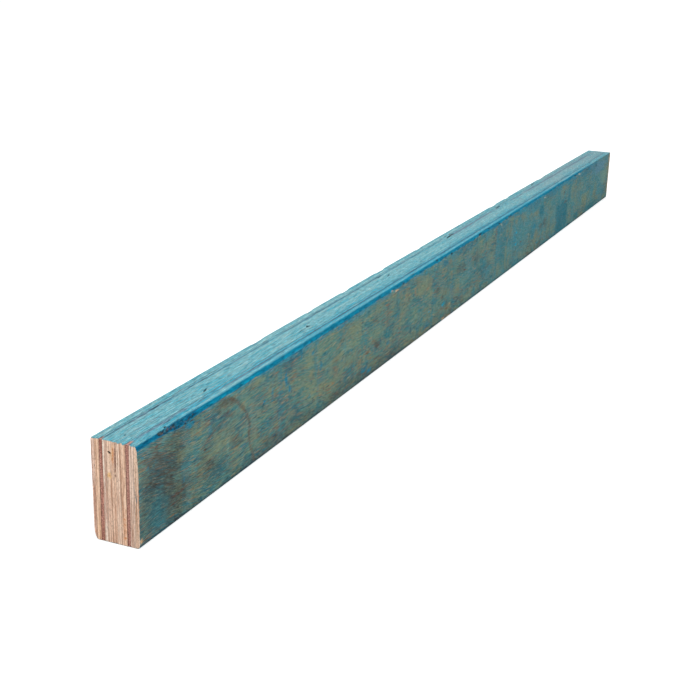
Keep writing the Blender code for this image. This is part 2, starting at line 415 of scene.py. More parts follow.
def cell_value(cell, seed):
    """A repeatable number from -1 to 1 for each whole-numbered cell."""
    mixed = cell[..., 0] * 374761393 + cell[..., 1] * 668265263 + cell[..., 2] * 974634777
    mixed = (mixed + seed * 362437) & 0xFFFFFFFF
    mixed = ((mixed ^ (mixed >> 13)) * 1274126177) & 0xFFFFFFFF
    mixed = ((mixed ^ (mixed >> 15)) * 668265263) & 0xFFFFFFFF
    return ((mixed ^ (mixed >> 16)) & 0xFFFF) / 0x7FFF - 1


def noise(points, cell, seed, octaves=1):
    """Smooth noise from about -1 to 1 at points, stretched to the cell's size in metres."""
    total = 0.0
    weight = 1.0
    scaled = points / np.asarray(cell)
    for octave in range(octaves):
        base = np.floor(scaled).astype(np.int64)
        part = scaled - base
        part = part * part * (3 - 2 * part)
        value = 0.0
        for corner in np.ndindex(2, 2, 2):
            offset = np.array(corner)
            share = np.prod(np.where(offset == 1, part, 1 - part), axis=-1)
            value = value + share * cell_value(base + offset, seed + 31 * octave)
        total = total + weight * value
        weight *= 0.5
        scaled = scaled * 2
    return total


def smooth(values, low, high):
    """0 below low, 1 above high and a smooth step between."""
    part = np.clip((values - low) / (high - low), 0, 1)
    return part * part * (3 - 2 * part)


def srgb(red, green, blue):
    """An 8-bit sRGB colour as the linear one that a shader takes."""
    linear = []
    for value in (red, green, blue):
        share = value / 255
        linear.append(share / 12.92 if share <= 0.04045 else ((share + 0.055) / 1.055) ** 2.4)
    return (*linear, 1.0)


# ---- the section's outline


def arris_size(x, corner):
    """Width and height of a long arris at x, in metres."""
    share = (x - LOW[0]) / LENGTH
    return [MM * (near + share * (far - near)) for near, far in zip(*ARRISES[corner])]


def into_arris(x, y, corner):
    """How far y lies past the start of an arris, from 0 to 1."""
    width = arris_size(x, corner)[0]
    return np.clip((corner[0] * y - (HALF - width)) / width, 0, 1)


def outline_z(x, y, end):
    """Height of the section's top (end 1) or bottom (end -1) at y, round its arrises."""
    drop = 0.0
    for side in (1, -1):
        height = arris_size(x, (side, end))[1]
        drop = drop + height * (1 - np.sqrt(1 - into_arris(x, y, (side, end)) ** 2))
    return HEIGHT - drop if end == 1 else drop


def outline_normal(x, y, end):
    """Outward (y, z) direction of the section's top or bottom at y."""
    slope = 0.0
    for side in (1, -1):
        width, height = arris_size(x, (side, end))
        past = into_arris(x, y, (side, end))
        slope = slope + side * past * height / (width * np.sqrt(np.maximum(1 - past**2, 1e-6)))
    return np.stack([slope, np.full_like(slope, end)], -1) / np.hypot(slope, 1)[:, None]


# ---- marks


def unpack(rows_of_kind):
    """Marks from {kind: rows of (along, across, length, width, amount, turn)}."""
    return tuple(Mark(kind, *row) for kind, rows in rows_of_kind.items() for row in rows)


def chain(kind, places, width, amount):
    """Marks that join up into a line through places."""
    marks = []
    for start, stop in zip(places[:-1], places[1:]):
        run, rise = stop[0] - start[0], stop[1] - start[1]
        middle = ((start[0] + stop[0]) / 2, (start[1] + stop[1]) / 2)
        length = 0.75 * math.hypot(run, rise)
        marks.append(Mark(kind, *middle, length, width, amount, math.degrees(math.atan2(rise, run))))
    return tuple(marks)


def scattered(kinds, count, seed, across_range, big=()):
    """Everyday marks for a surface that the photograph doesn't show."""
    random = np.random.default_rng(seed)
    marks = []
    for number in range(count):
        kind = kinds[number % len(kinds)]
        wide = kind in big
        length = random.uniform(20, 80) if wide else random.uniform(4, 16)
        width = random.uniform(7, 24) if wide else random.uniform(0.7, 2.4)
        place = (random.uniform(12, LENGTH_MM - 12), random.uniform(*across_range))
        amount = random.uniform(0.35, 0.8)
        marks.append(Mark(kind, *place, length, width, amount, random.uniform(-8, 8)))
    return tuple(marks)


def arris_pits():
    """A cluster of small pits where paint has flaked off the front top arris."""
    random = np.random.default_rng(11)
    start, stop = ARRIS_PIT_RANGE
    kinds = ("pit", "rust", "pit", "umber", "pit", "slate")
    marks = []
    for number in range(ARRIS_PITS):
        along = random.uniform(start, stop)
        up = 93.6 - (1.5 + 6 * (along - start) / (stop - start)) * random.uniform(0, 1)
        size = (random.uniform(0.8, 3.0), random.uniform(0.5, 1.2))
        turn = random.uniform(-25, 25)
        kind = kinds[number % len(kinds)]
        marks.append(Mark(kind, along, up, *size, random.uniform(0.5, 1), turn))
    return tuple(marks)


WASHES = ("olive", "umber", "teal", "tan", "slate")
SPOTS = ("rust", "blue", "orange", "navy", "cream", "ink")
MARKS = {
    "top": unpack(TOP_MARKS),
    "bottom": scattered(("ink", "violet", "haze_and_sheen", "azure", "pit"), 50, 3, (-20, 20), ("haze_and_sheen",)),
    "front": unpack(FRONT_WASHES_AND_SHADE),
    "front_spots": (
        chain("rim", PUDDLE_RIM, 3.8, 0.65)
        + chain("rim", FAINT_RIM, 2.6, 0.5)
        + unpack(FRONT_SPOTS)
        + arris_pits()
    ),
    "back": (
        scattered(WASHES, 60, 5, (6, 90), WASHES) + scattered(SPOTS, 90, 6, (4, 92))
    ),
    "bare_end": unpack(BARE_END_MARKS),
    "far_end": unpack(FAR_END_MARKS),
}


class Finish:
    """What marks do to a sheet's points: a colour, how much it covers, and a depth."""

    def __init__(self, points):
        self.points = points
        self.colour = np.tile(srgb(84, 116, 114), (len(points), 1))
        self.cover = np.zeros(len(points))
        self.depth = np.zeros(len(points))

    def paint(self, here, colour, cover):
        """Lays an sRGB colour over what is there at the picked points."""
        share = np.clip(cover, 0, 1)
        kept = self.cover[here] * (1 - share)
        total = np.maximum(kept + cover, 1e-6)[:, None]
        blend = (self.colour[here] * kept[:, None] + np.array(srgb(*colour)) * cover[:, None]) / total
        self.colour[here] = np.where(cover[:, None] > 0, blend, self.colour[here])
        self.cover[here] = kept + cover

    def mark(self, face, here):
        """Adds a face's marks at the points picked by here."""
        picked = np.flatnonzero(here)
        along, across = along_and_across(self.points[picked], face)
        for number, mark in enumerate(MARKS[face]):
            kind = KINDS[mark.kind]
            reach = 1.5 * max(mark.length, mark.width)
            near = (abs(along - mark.along) < reach) & (abs(across - mark.across) < reach)
            touched = picked[near]
            if not len(touched):
                continue
            turn = math.radians(mark.turn)
            a = along[near] - mark.along
            b = across[near] - mark.across
            u = np.abs(a * math.cos(turn) + b * math.sin(turn)) / mark.length
            v = np.abs(b * math.cos(turn) - a * math.sin(turn)) / mark.width
            away = (u**kind.square + v**kind.square) ** (1 / kind.square)
            fine = max(1.3, 0.4 * mark.width)
            long = min(max(3.0, 0.3 * mark.length), 30.0)
            cell = (long * MM, fine * MM, fine * MM)
            if face.endswith("end"):
                cell = (1, 0.9 * MM, 1.6 * MM)
            ragged = noise(self.points[touched], cell, 100 + number, 2)
            cover = smooth(1 - away + 0.35 * (0.3 + kind.soft) * ragged, 0, 0.15 + 0.75 * kind.soft)
            cover *= mark.amount
            self.paint(touched, kind.colour, kind.cover * cover)
            self.depth[touched] = np.maximum(self.depth[touched], kind.depth * MM * cover)


def along_and_across(points, face):
    """Each point's place on a face, in millimetres, in the order that a Mark gives it."""
    from_end = (points[:, 0] - LOW[0]) / MM
    if face in ("top", "bottom"):
        return from_end, points[:, 1] / MM
    if face.startswith(("front", "back")):
        return from_end, points[:, 2] / MM
    return points[:, 1] / MM, points[:, 2] / MM


# ---- a sheet's lattice


def stations_along(x_low, x_high, fine_places=()):
    """Places of the rings along X: close at the two ends and at small marks, wider between."""
    step = 2.45 * MM
    least = 0.3 * MM
    rings = int(round((x_high - x_low) / step))
    close = np.array([0, 0.35, 0.8, 1.4]) * MM
    parts = [np.linspace(x_low, x_high, rings + 1), x_low + close, x_high - close]
    for place in fine_places:
        parts.append(np.arange(place - 3 * MM, place + 3 * MM, 0.8 * MM))
    kept = [x_low]
    for place in np.sort(np.concatenate(parts)):
        if place - kept[-1] > least and x_high - place > least:
            kept.append(place)
    return np.array(kept + [x_high])


def stations_across(y_low, y_high, outer):
    """Places of the columns along Y: even inside the timber, closing up to a broad side."""
    if not outer:
        columns = max(1, round((y_high - y_low) / (0.55 * MM)))
        return np.linspace(y_low, y_high, columns + 1)
    share = np.sin(np.linspace(0, math.pi / 2, 15))
    if outer == 1:
        return y_low + share * (y_high - y_low)
    return (y_high - share * (y_high - y_low))[::-1]


class Sheet:
    """A sheet of the billet as a lattice of surface points."""

    def __init__(self, xs, ys, rows, outer):
        self.outer = outer
        self.shape = (len(xs), len(ys), rows)
        x, y, share = np.meshgrid(xs, ys, np.linspace(0, 1, rows), indexing="ij")
        bottom, top = outline_z(x, y, -1), outline_z(x, y, 1)
        z = bottom + share * (top - bottom)
        used = np.zeros(self.shape, bool)
        used[[0, -1]] = True
        used[:, :, [0, -1]] = True
        if outer:
            used[:, -1 if outer == 1 else 0] = True
        self.number = np.cumsum(used).reshape(self.shape) - 1
        self.points = np.stack([x, y, z], -1)[used]
        self.ring, self.column, self.row = (grid[used] for grid in np.indices(self.shape))

    def faces(self):
        """Quads where the sheet shows and one polygon on each glued side, with their sides."""
        number = self.number
        glued = {1: ("y-",), -1: ("y+",), 0: ("y-", "y+")}[self.outer]
        sides = {
            "x-": (number[0], False),
            "x+": (number[-1], True),
            "y-": (number[:, 0], True),
            "y+": (number[:, -1], False),
            "z-": (number[:, :, 0], False),
            "z+": (number[:, :, -1], True),
        }
        faces = []
        owners = []
        for side, (grid, forward) in sides.items():
            if side in glued:
                border = [grid[:-1, 0], grid[-1, :-1], grid[:0:-1, -1], grid[0, :0:-1]]
                rings = [np.concatenate(border).tolist()]
            else:
                quads = [grid[:-1, :-1], grid[1:, :-1], grid[1:, 1:], grid[:-1, 1:]]
                rings = np.stack(quads, -1).reshape(-1, 4).tolist()
            if not forward:
                rings = [ring[::-1] for ring in rings]
            faces += rings
            owners += [side] * len(rings)
        return faces, owners

    def normals(self):
        """Outward (y, z) of the sealed surface at each point, and 0 on the rest."""
        normal = np.zeros((len(self.points), 2))
        for end, row in ((1, self.shape[2] - 1), (-1, 0)):
            here = self.row == row
            normal[here] = outline_normal(self.points[here, 0], self.points[here, 1], end)
        if self.outer:
            column = self.shape[1] - 1 if self.outer == 1 else 0
            normal[self.column == column] = (self.outer, 0)
        return normal


def sealed_relief(points, cross, edge):
    """How far weather and wear have lowered a sealed surface, in metres."""
    broad = np.abs(noise(points, (60 * MM, 2.2 * MM, 3.0 * MM), 3, 2))
    fibres = np.abs(noise(points, (14 * MM, 0.7 * MM, 1.4 * MM), 5, 2))
    depth = 0.05 * MM * broad + 0.05 * MM * fibres
    if cross:
        rough = np.abs(noise(points, (2.2 * MM, 1.1 * MM, 1.1 * MM), 7, 3))
        waves = noise(points, (26 * MM, 9 * MM, 9 * MM), 9, 2)
        depth = depth + edge * MM * (0.22 + 0.22 * rough + 0.08 * waves)
    return depth


def frayed_corner(points):
    """How far the fibres at the bare end's front bottom corner stand out, in metres."""
    from_end = (points[:, 0] - LOW[0]) / MM
    up = points[:, 2] / MM
    fibres = 0.55 + 0.45 * noise(points, (6 * MM, 3 * MM, 1.4 * MM), 61, 2)
    cover = smooth(8 - from_end, 0, 7) * smooth(12.5 - up, 0, 5) * smooth(up, 0.8, 3)
    return 1.1 * MM * cover * np.clip(fibres, 0, 1)


def back_edge_drop(points):
    """How far chips have lowered the back top edge, in metres."""
    from_end = (points[:, 0] - LOW[0]) / MM
    ragged = 1 + 0.5 * noise(points, (5 * MM, 2 * MM, 9 * MM), 63, 2)
    drop = 0.0
    for place, length, depth in BACK_EDGE_CHIPS:
        drop = drop + depth * smooth(length - np.abs(from_end - place), 0, 0.5 * length)
    inward = (HALF - points[:, 1]) / MM
    down = (HEIGHT - points[:, 2]) / MM
    return MM * drop * ragged * (1 - smooth(inward, 0.8, 2.4)) * (1 - smooth(down, 1.5, 6))


def sawn_relief(points):
    """How far the saw left each end below its highest point, in metres."""
    ridges = 0.5 + 0.5 * np.sin(points[:, 2] / (0.37 * MM) + 2 * points[:, 1] / (9 * MM))
    rough = np.abs(noise(points, (1, 0.9 * MM, 1.6 * MM), 13, 2))
    return MM * (0.03 * ridges + 0.09 * rough)


def arris_band(points):
    """The strong blue paint line along the front top arris, with a ragged lower border."""
    from_end = (points[:, 0] - LOW[0]) / MM
    from_top = (HEIGHT - points[:, 2]) / MM
    ragged = noise(points, (14 * MM, 4 * MM, 4 * MM), 21, 3)
    worn = smooth(from_end, 380, 800)
    flaked = 2.4 * smooth(26 - np.abs(from_end - 72), 0, 20)
    width = 5.0 + flaked - 1.2 * worn + (0.35 + 1.3 * worn) * ragged
    faded = 1 - 0.9 * smooth(from_end + 60 * ragged, 1520, 1680)
    outward = -points[:, 1] / MM + 0.4 * ragged
    return (1 - smooth(from_top / width, 0.88, 1.08)) * smooth(outward, 20.6, 21.8) * faded


def painted_bottom_shade(points):
    """Painted shade along the front's bottom arris: how strongly it covers, most at the bottom."""
    ragged = noise(points, (24 * MM, 3 * MM, 2 * MM), 27, 2)
    return 0.9 * (1 - smooth(points[:, 2] / MM + 1.2 * ragged, 2.0, 5.6))


def end_fringe(points):
    """Sealer that ran over the bare end's bottom and front rims."""
    ragged = 0.5 * MM * noise(points, (1, 1.6 * MM, 1.6 * MM), 23, 2)
    rim = np.minimum(points[:, 2], HALF + points[:, 1] + 0.3 * MM)
    return 0.9 * (1 - smooth(rim + ragged, 0.15 * MM, 0.8 * MM))


def finish_sheet(sheet, cross):
    """Lowers a veneer's points by its relief and returns them with its colours and masks."""
    points = sheet.points
    normal = sheet.normals()
    sealed = (normal != 0).any(1)
    lean = normal[:, 0]
    side = np.abs(lean) ** 1.5
    at_start, at_stop = sheet.ring == 0, sheet.ring == sheet.shape[0] - 1
    bare_end = at_start & (points[:, 0] < LOW[0] + MM)
    far_end = at_stop & (points[:, 0] > HIGH[0] - MM)
    surface = Finish(points)
    broad = side > 0.4
    front = sealed & broad & (lean < 0)
    upper = points[:, 2] > HEIGHT / 2
    paint_line = arris_band(points) * sealed * ~bare_end * ~far_end
    # Painted shade: a dark navy colour laid over the front towards its bottom arris
    surface.paint(np.flatnonzero(front), (26, 62, 78), painted_bottom_shade(points[front]))
    surface.mark("front", front)
    surface.cover *= 1 - paint_line
    surface.mark("front_spots", front)
    surface.mark("back", sealed & broad & (lean > 0))
    surface.mark("top", sealed & ~broad & upper)
    surface.mark("bottom", sealed & ~broad & ~upper)
    depth = surface.depth + sealed_relief(points, cross, side < 0.5)
    from_ends = np.minimum(points[:, 0] - LOW[0], HIGH[0] - points[:, 0])
    depth += 0.3 * MM * np.clip(1 - from_ends / (0.9 * MM), 0, 1) ** 2
    if sheet.outer == -1:
        depth -= frayed_corner(points) * (sheet.column == 0)
    moved = points.copy()
    moved[:, 1:] -= normal * (depth * sealed)[:, None]
    if sheet.outer:
        share = sheet.column / (sheet.shape[1] - 1)
        up = points[:, 2] / HEIGHT
        if sheet.outer == 1:
            moved[:, 2] -= back_edge_drop(points)
            moved[:, 1] -= BACK_LEAN * share * (1 - up)
        else:
            near = 1 - smooth(points[:, 0] - LOW[0], 0, FRONT_LEAN_LENGTH)
            moved[:, 1] += FRONT_LEAN * (1 - share) * smooth(up, 0.72, 1) * near

    for name, here in (("bare_end", bare_end), ("far_end", far_end)):
        surface.cover[here] = 0
        surface.depth[here] = 0
        surface.mark(name, here)
        surface.depth[here] += sawn_relief(points[here])
        surface.paint(np.flatnonzero(here), (62, 118, 128), end_fringe(points[here]))
    moved[:, 0] += surface.depth * (bare_end * 1.0 - far_end * 1.0)
    masks = {"side": side, "arris": paint_line, "cover": surface.cover}
    return moved, masks, surface.colour


# ---- materials


class Graph:
    """One material's nodes, with short calls for the few kinds that these materials use."""

    def __init__(self, name):
        self.material = bpy.data.materials.new(name)
        self.material.use_nodes = True
        self.tree = self.material.node_tree
        self.shader = self.tree.nodes["Principled BSDF"]
        self.place = self.tree.nodes.new("ShaderNodeTexCoord").outputs["Object"]

    def feed(self, socket, value):
        """Links an output to the socket, or writes a constant there."""
        if isinstance(value, bpy.types.NodeSocket):
            self.tree.links.new(value, socket)
        else:
            socket.default_value = value

    def noise(self, cell_mm, seed, detail=3.0, roughness=0.5):
        """Noise from 0 to 1 stretched to a cell given in millimetres."""
        mapping = self.tree.nodes.new("ShaderNodeMapping")
        mapping.inputs["Location"].default_value = (7.31 * seed, 3.17 * seed, 5.73 * seed)
        mapping.inputs["Scale"].default_value = [1000 / size for size in cell_mm]
        self.feed(mapping.inputs["Vector"], self.place)
        node = self.tree.nodes.new("ShaderNodeTexNoise")
        node.inputs["Scale"].default_value = 1.0
        node.inputs["Detail"].default_value = detail
        node.inputs["Roughness"].default_value = roughness
        self.feed(node.inputs["Vector"], mapping.outputs["Vector"])
        return node.outputs["Fac"]

    def stored(self, name, output="Fac"):
        """A mask or a colour that the mesh holds."""
        node = self.tree.nodes.new("ShaderNodeAttribute")
        node.attribute_name = name
        return node.outputs[output]

    def math(self, operation, first, second=0.0):
        """One sum on two values."""
        node = self.tree.nodes.new("ShaderNodeMath")
        node.operation = operation
        self.feed(node.inputs[0], first)
        self.feed(node.inputs[1], second)
        return node.outputs[0]

    def rescale(self, value, low, high, to_low=0.0, to_high=1.0, soft=False):
        """The value moved from one range to another, kept inside it."""
        node = self.tree.nodes.new("ShaderNodeMapRange")
        node.interpolation_type = "SMOOTHSTEP" if soft else "LINEAR"
        self.feed(node.inputs["Value"], value)
        node.inputs["From Min"].default_value = low
        node.inputs["From Max"].default_value = high
        node.inputs["To Min"].default_value = to_low
        node.inputs["To Max"].default_value = to_high
        return node.outputs["Result"]

    def step(self, value, low, high, most=1.0):
        """0 below low, most above high and a smooth step between."""
        return self.rescale(value, low, high, 0.0, most, soft=True)

    def ramp(self, value, *stops):
        """A colour for each value: stops are (position, sRGB colour)."""
        node = self.tree.nodes.new("ShaderNodeValToRGB")
        elements = node.color_ramp.elements
        while len(elements) < len(stops):
            elements.new(0.5)
        for element, (position, colour) in zip(elements, stops):
            element.position = position
            element.color = srgb(*colour)
        self.feed(node.inputs["Fac"], value)
        return node.outputs["Color"]

    def mix(self, share, first, second, blend="MIX"):
        """first where share is 0 and second where it is 1. A colour is an output or sRGB."""
        node = self.tree.nodes.new("ShaderNodeMix")
        node.data_type = "RGBA"
        node.blend_type = blend
        self.feed(node.inputs[0], share)
        for socket, colour in ((node.inputs[6], first), (node.inputs[7], second)):
            self.feed(socket, srgb(*colour) if isinstance(colour, tuple) else colour)
        return node.outputs[2]

    def weighed(self, first, second, share):
        """Two values added up, with the second one's share of the sum."""
        rest = self.math("MULTIPLY", first, 1 - share)
        return self.math("ADD", rest, self.math("MULTIPLY", second, share))

    def patches(self, cell_mm, seed, detail, low, high, most=1.0):
        """0 where a noise is low, most where it is high and a smooth step between."""
        return self.step(self.noise(cell_mm, seed, detail), low, high, most)

    def fleck(self, colour, fleck_colour, cell_mm, seed, low, high, most):
        """Small flecks of another colour, where a noise is high."""
        return self.mix(self.patches(cell_mm, seed, 3, low, high, most), colour, fleck_colour)

    def wander(self):
        """Lets every later noise on the broad sides follow a wandering grain."""
        wave = self.rescale(self.noise((160, 900, 70), 29, detail=1), 0.25, 0.75, -0.5, 0.5)
        apart = self.tree.nodes.new("ShaderNodeSeparateXYZ")
        self.feed(apart.inputs["Vector"], self.place)
        dip = self.step(apart.outputs["X"], LOW[0], LOW[0] + GRAIN_DIP_LENGTH, 1.0)
        lift = self.math("MULTIPLY", self.math("ADD", wave, dip), GRAIN_WANDER)
        together = self.tree.nodes.new("ShaderNodeCombineXYZ")
        self.feed(together.inputs["Z"], self.math("MULTIPLY", lift, self.stored("side")))
        total = self.tree.nodes.new("ShaderNodeVectorMath")
        self.feed(total.inputs[0], self.place)
        self.feed(total.inputs[1], together.outputs["Vector"])
        self.place = total.outputs["Vector"]

    def marked(self, colour, cell_mm, seed):
        """The colour under the mesh's marks, whose cover is mottled by a noise."""
        mottle = self.rescale(self.noise(cell_mm, seed, 5, 0.62), 0.34, 0.66, 0.45, 1.45)
        share = self.math("MINIMUM", self.math("MULTIPLY", self.stored("cover"), mottle), 1.0)
        return self.mix(share, colour, self.stored("stain", "Color"))

    def grained(self, colour, cell_mm, seed, least, most):
        """The colour made darker and lighter by a fine noise."""
        grain = self.rescale(self.noise(cell_mm, seed, 5, 0.75), 0.3, 0.7, least, most)
        return self.mix(1.0, colour, grain, blend="MULTIPLY")

    def bump(self, height, distance_mm, after=None):
        """A normal from a height of 0 to 1 that stands for a distance in millimetres."""
        node = self.tree.nodes.new("ShaderNodeBump")
        node.inputs["Distance"].default_value = distance_mm * MM
        self.feed(node.inputs["Height"], height)
        if after is not None:
            self.feed(node.inputs["Normal"], after)
        return node.outputs["Normal"]

    def finish(self, colour, roughness, normal, specular):
        """Wires the Principled shader and returns the material."""
        self.feed(self.shader.inputs["Base Color"], colour)
        self.feed(self.shader.inputs["Roughness"], roughness)
        self.feed(self.shader.inputs["Normal"], normal)
        self.shader.inputs["Specular IOR Level"].default_value = specular
        return self.material


def painted_edge_colour(g):
    """Thin pale-blue paint on a narrow edge, streaked along the timber."""
    fine = g.noise((22, 1.0, 1.0), 1, detail=6, roughness=0.8)
    broad = g.noise((90, 3.6, 3.6), 2, detail=4)
    colour = g.ramp(
        g.weighed(fine, broad, 0.16),
        (0.37, (36, 136, 164)),
        (0.44, (74, 160, 178)),
        (0.50, (108, 174, 185)),
        (0.56, (136, 184, 189)),
        (0.63, (172, 200, 196)),
    )
    colour = g.fleck(colour, (118, 134, 152), (20, 0.9, 0.9), 3, 0.58, 0.70, 0.7)
    colour = g.fleck(colour, (30, 112, 136), (10, 0.5, 0.5), 6, 0.60, 0.70, 0.6)
    return g.fleck(colour, (190, 212, 206), (14, 0.6, 0.6), 8, 0.62, 0.72, 0.6)


def painted_groove_colour(g):
    """Dull paint on a cross-band's edge, whose end grain drank it in."""
    fine = g.noise((30, 0.8, 0.8), 1, detail=5, roughness=0.62)
    ends = g.noise((5, 1.4, 1.4), 2, detail=4)
    colour = g.ramp(
        g.weighed(fine, ends, 0.35),
        (0.36, (44, 120, 148)),
        (0.44, (80, 152, 170)),
        (0.50, (108, 172, 184)),
        (0.57, (130, 186, 194)),
        (0.64, (160, 196, 198)),
    )
    return g.fleck(colour, (124, 134, 152), (26, 0.9, 0.9), 3, 0.56, 0.68, 0.65)


def stained_side_colour(g):
    """Worn blue-green sealer over the brown grain of a face veneer."""
    blotches = g.noise((52, 20, 20), 11, detail=6, roughness=0.62)
    streaks = g.noise((44, 1.0, 1.0), 12, detail=6, roughness=0.7)
    colour = g.ramp(
        g.weighed(blotches, streaks, 0.55),
        (0.35, (20, 84, 102)),
        (0.43, (58, 114, 122)),
        (0.50, (88, 131, 124)),
        (0.57, (112, 136, 114)),
        (0.65, (140, 144, 114)),
    )
    colour = g.mix(g.patches((24, 300, 220), 17, 2, 0.52, 0.66, 0.5), colour, (44, 124, 138))
    brown = g.patches((22, 0.6, 0.6), 13, 4, 0.52, 0.62, 0.9)
    brown = g.math("MULTIPLY", brown, g.patches((80, 26, 26), 18, 2, 0.36, 0.56))
    colour = g.mix(brown, colour, (124, 92, 70))
    colour = g.fleck(colour, (172, 138, 100), (16, 0.6, 0.6), 14, 0.57, 0.67, 0.7)
    colour = g.fleck(colour, (24, 104, 128), (9, 3.4, 3.4), 15, 0.60, 0.72, 0.6)
    return g.fleck(colour, (28, 56, 66), (7, 0.6, 0.6), 16, 0.60, 0.72, 0.65)


def sealed_wood(cross):
    """Sealed edges and sides, under the marks that the mesh holds."""
    g = Graph("sealed_crossband" if cross else "sealed_wood")
    g.wander()
    colour = painted_groove_colour(g) if cross else painted_edge_colour(g)
    if not cross:
        colour = g.mix(g.step(g.stored("side"), 0.4, 0.85), colour, stained_side_colour(g))
        line = g.ramp(g.noise((22, 1.6, 1.6), 21, 4), *zip((0.36, 0.50, 0.66), PAINT_LINE))
        colour = g.mix(g.stored("arris"), colour, line)
    colour = g.marked(colour, (6, 1.8, 1.8), 22)
    colour = g.grained(colour, (9, 0.9, 0.9), 24, 0.32, 1.68)
    roughness = g.rescale(g.noise((20, 3, 3), 25), 0.3, 0.7, 0.5, 0.75)
    grain = g.noise((18, 0.5, 0.5), 26, detail=4)
    fibres = g.noise((1.4, 0.6, 0.6) if cross else (6, 0.9, 0.9), 27, detail=4)
    normal = g.bump(grain, 0.12)
    normal = g.bump(fibres, 0.30 if cross else 0.14, after=normal)
    return g.finish(colour, roughness, normal, specular=0.05)


def sawn_wood(ply):
    """A ply's bare sawn end: end grain, or long grain up the section on a cross-band."""
    cross = PLIES[ply][0].startswith("crossband")
    g = Graph(f"sawn_ply_{ply + 1:02d}")
    base = SAWN_COLOURS[ply]
    paler = tuple(min(255, value + 22) for value in base)
    darker = tuple(int(value * share) for value, share in zip(base, (0.84, 0.74, 0.70)))
    rings = g.noise((900, 1.1, 60), 31 + ply, detail=4, roughness=0.62)
    colour = g.ramp(rings, (0.41, darker), (0.48, base), (0.56, paler))
    pore_colour = tuple(int(value * 0.5) for value in base)
    pores, least = ((900, 0.9, 1.2), 0.48) if cross else ((900, 0.6, 2.2), 0.60)
    colour = g.fleck(colour, pore_colour, pores, 50 + ply, least, least + 0.12, 0.7)
    teeth = g.noise((900, 3.0, 0.8), 70 + ply, detail=3)
    colour = g.mix(g.step(teeth, 0.5, 0.75, 0.3), colour, darker)
    colour = g.marked(colour, (900, 0.9, 1.4), 88)
    grain = (900, 0.9, 1.3) if cross else (900, 0.9, 4)
    colour = g.grained(colour, grain, 89, 0.68, 1.32)
    normal = g.bump(teeth, 0.12)
    roughness = g.rescale(rings, 0.3, 0.7, 0.75, 0.92)
    return g.finish(colour, roughness, normal, specular=0.2)


def peeled_wood():
    """The glued faces between veneers, which only show where the timber is opened."""
    g = Graph("peeled_wood")
    grain = g.noise((40, 0.8, 1.6), 91, detail=4)
    colour = g.ramp(grain, (0.35, (150, 108, 82)), (0.65, (196, 156, 122)))
    return g.finish(colour, 0.8, g.bump(grain, 0.1), specular=0.2)


def cured_glue():
    """Dark phenolic glue, dusty with sealer where it meets a painted edge."""
    g = Graph("cured_glue")
    lumps = g.noise((5, 5, 5), 92, detail=3)
    colour = g.ramp(lumps, (0.35, (96, 60, 46)), (0.65, (140, 98, 74)))
    g.feed(g.shader.inputs["Base Color"], g.mix(g.stored("cover"), colour, (72, 138, 156)))
    g.shader.inputs["Roughness"].default_value = 0.5
    return g.material


# ---- pieces


def build_mesh(name, points, faces, slots, materials, masks, colours=None):
    """A smooth-shaded mesh with its materials, its masks and the colours of its marks."""
    mesh = bpy.data.meshes.new(name)
    mesh.from_pydata(points.tolist(), [], faces)
    for material in materials:
        mesh.materials.append(material)
    mesh.polygons.foreach_set("material_index", slots)
    for mask, values in masks.items():
        attribute = mesh.attributes.new(mask, "FLOAT", "POINT")
        attribute.data.foreach_set("value", values.astype(np.float32))
    if colours is not None:
        attribute = mesh.attributes.new("stain", "FLOAT_COLOR", "POINT")
        attribute.data.foreach_set("color", colours.astype(np.float32).ravel())
    mesh.shade_smooth()
    mesh.set_sharp_from_angle(angle=math.radians(48))
    mesh.validate()
    piece = bpy.data.objects.new(name, mesh)
    bpy.context.collection.objects.link(piece)
    return piece


def fit_out(piece, node):
    """Lets a piece stand for a CAD node on the timber's one body."""
    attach(piece, "root")
    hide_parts(node)


def joint_places():
    """Y of each glue line, from the back: halfway between the plies on its two sides."""
    places = []
    for back, front in zip(PLIES[:-1], PLIES[1:]):
        back_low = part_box(back[0])[0][1]
        front_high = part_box(front[0])[1][1]
        places.append((back_low + front_high) / 2)
    return places


def fine_places(y_low, y_high, outer):
    """Where along the timber a small hole in this veneer's edges needs close rings."""
    places = []
    for mark in MARKS["top"]:
        if mark.kind in ("hole", "pit") and y_low < mark.across * MM < y_high:
            places.append(LOW[0] + mark.along * MM)
    if outer == -1:
        places += [LOW[0] + place * MM for place in range(*ARRIS_PIT_RANGE, 5)]
    return places


def make_veneer(node, ply, y_low, y_high):
    """One veneer that stands for a CAD node."""
    cross = node.startswith("crossband")
    outer = {0: 1, LAST_PLY: -1}.get(ply, 0)
    low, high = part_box(node)
    xs = stations_along(low[0], high[0], fine_places(y_low, y_high, outer))
    rows = OUTER_ROWS if outer else INNER_ROWS
    sheet = Sheet(xs, stations_across(y_low, y_high, outer), rows, outer)
    points, masks, colours = finish_sheet(sheet, cross)
    faces, owners = sheet.faces()
    slot_of = {"x-": 1, "x+": 1, "y-": 2, "y+": 2, "z-": 0, "z+": 0}
    if outer:
        slot_of["y+" if outer == 1 else "y-"] = 0
    slots = [slot_of[owner] for owner in owners]
    materials = [SEALED[cross], SAWN[ply], PEELED]
    piece = build_mesh("wood_" + node, points, faces, slots, materials, masks, colours)
    fit_out(piece, node)


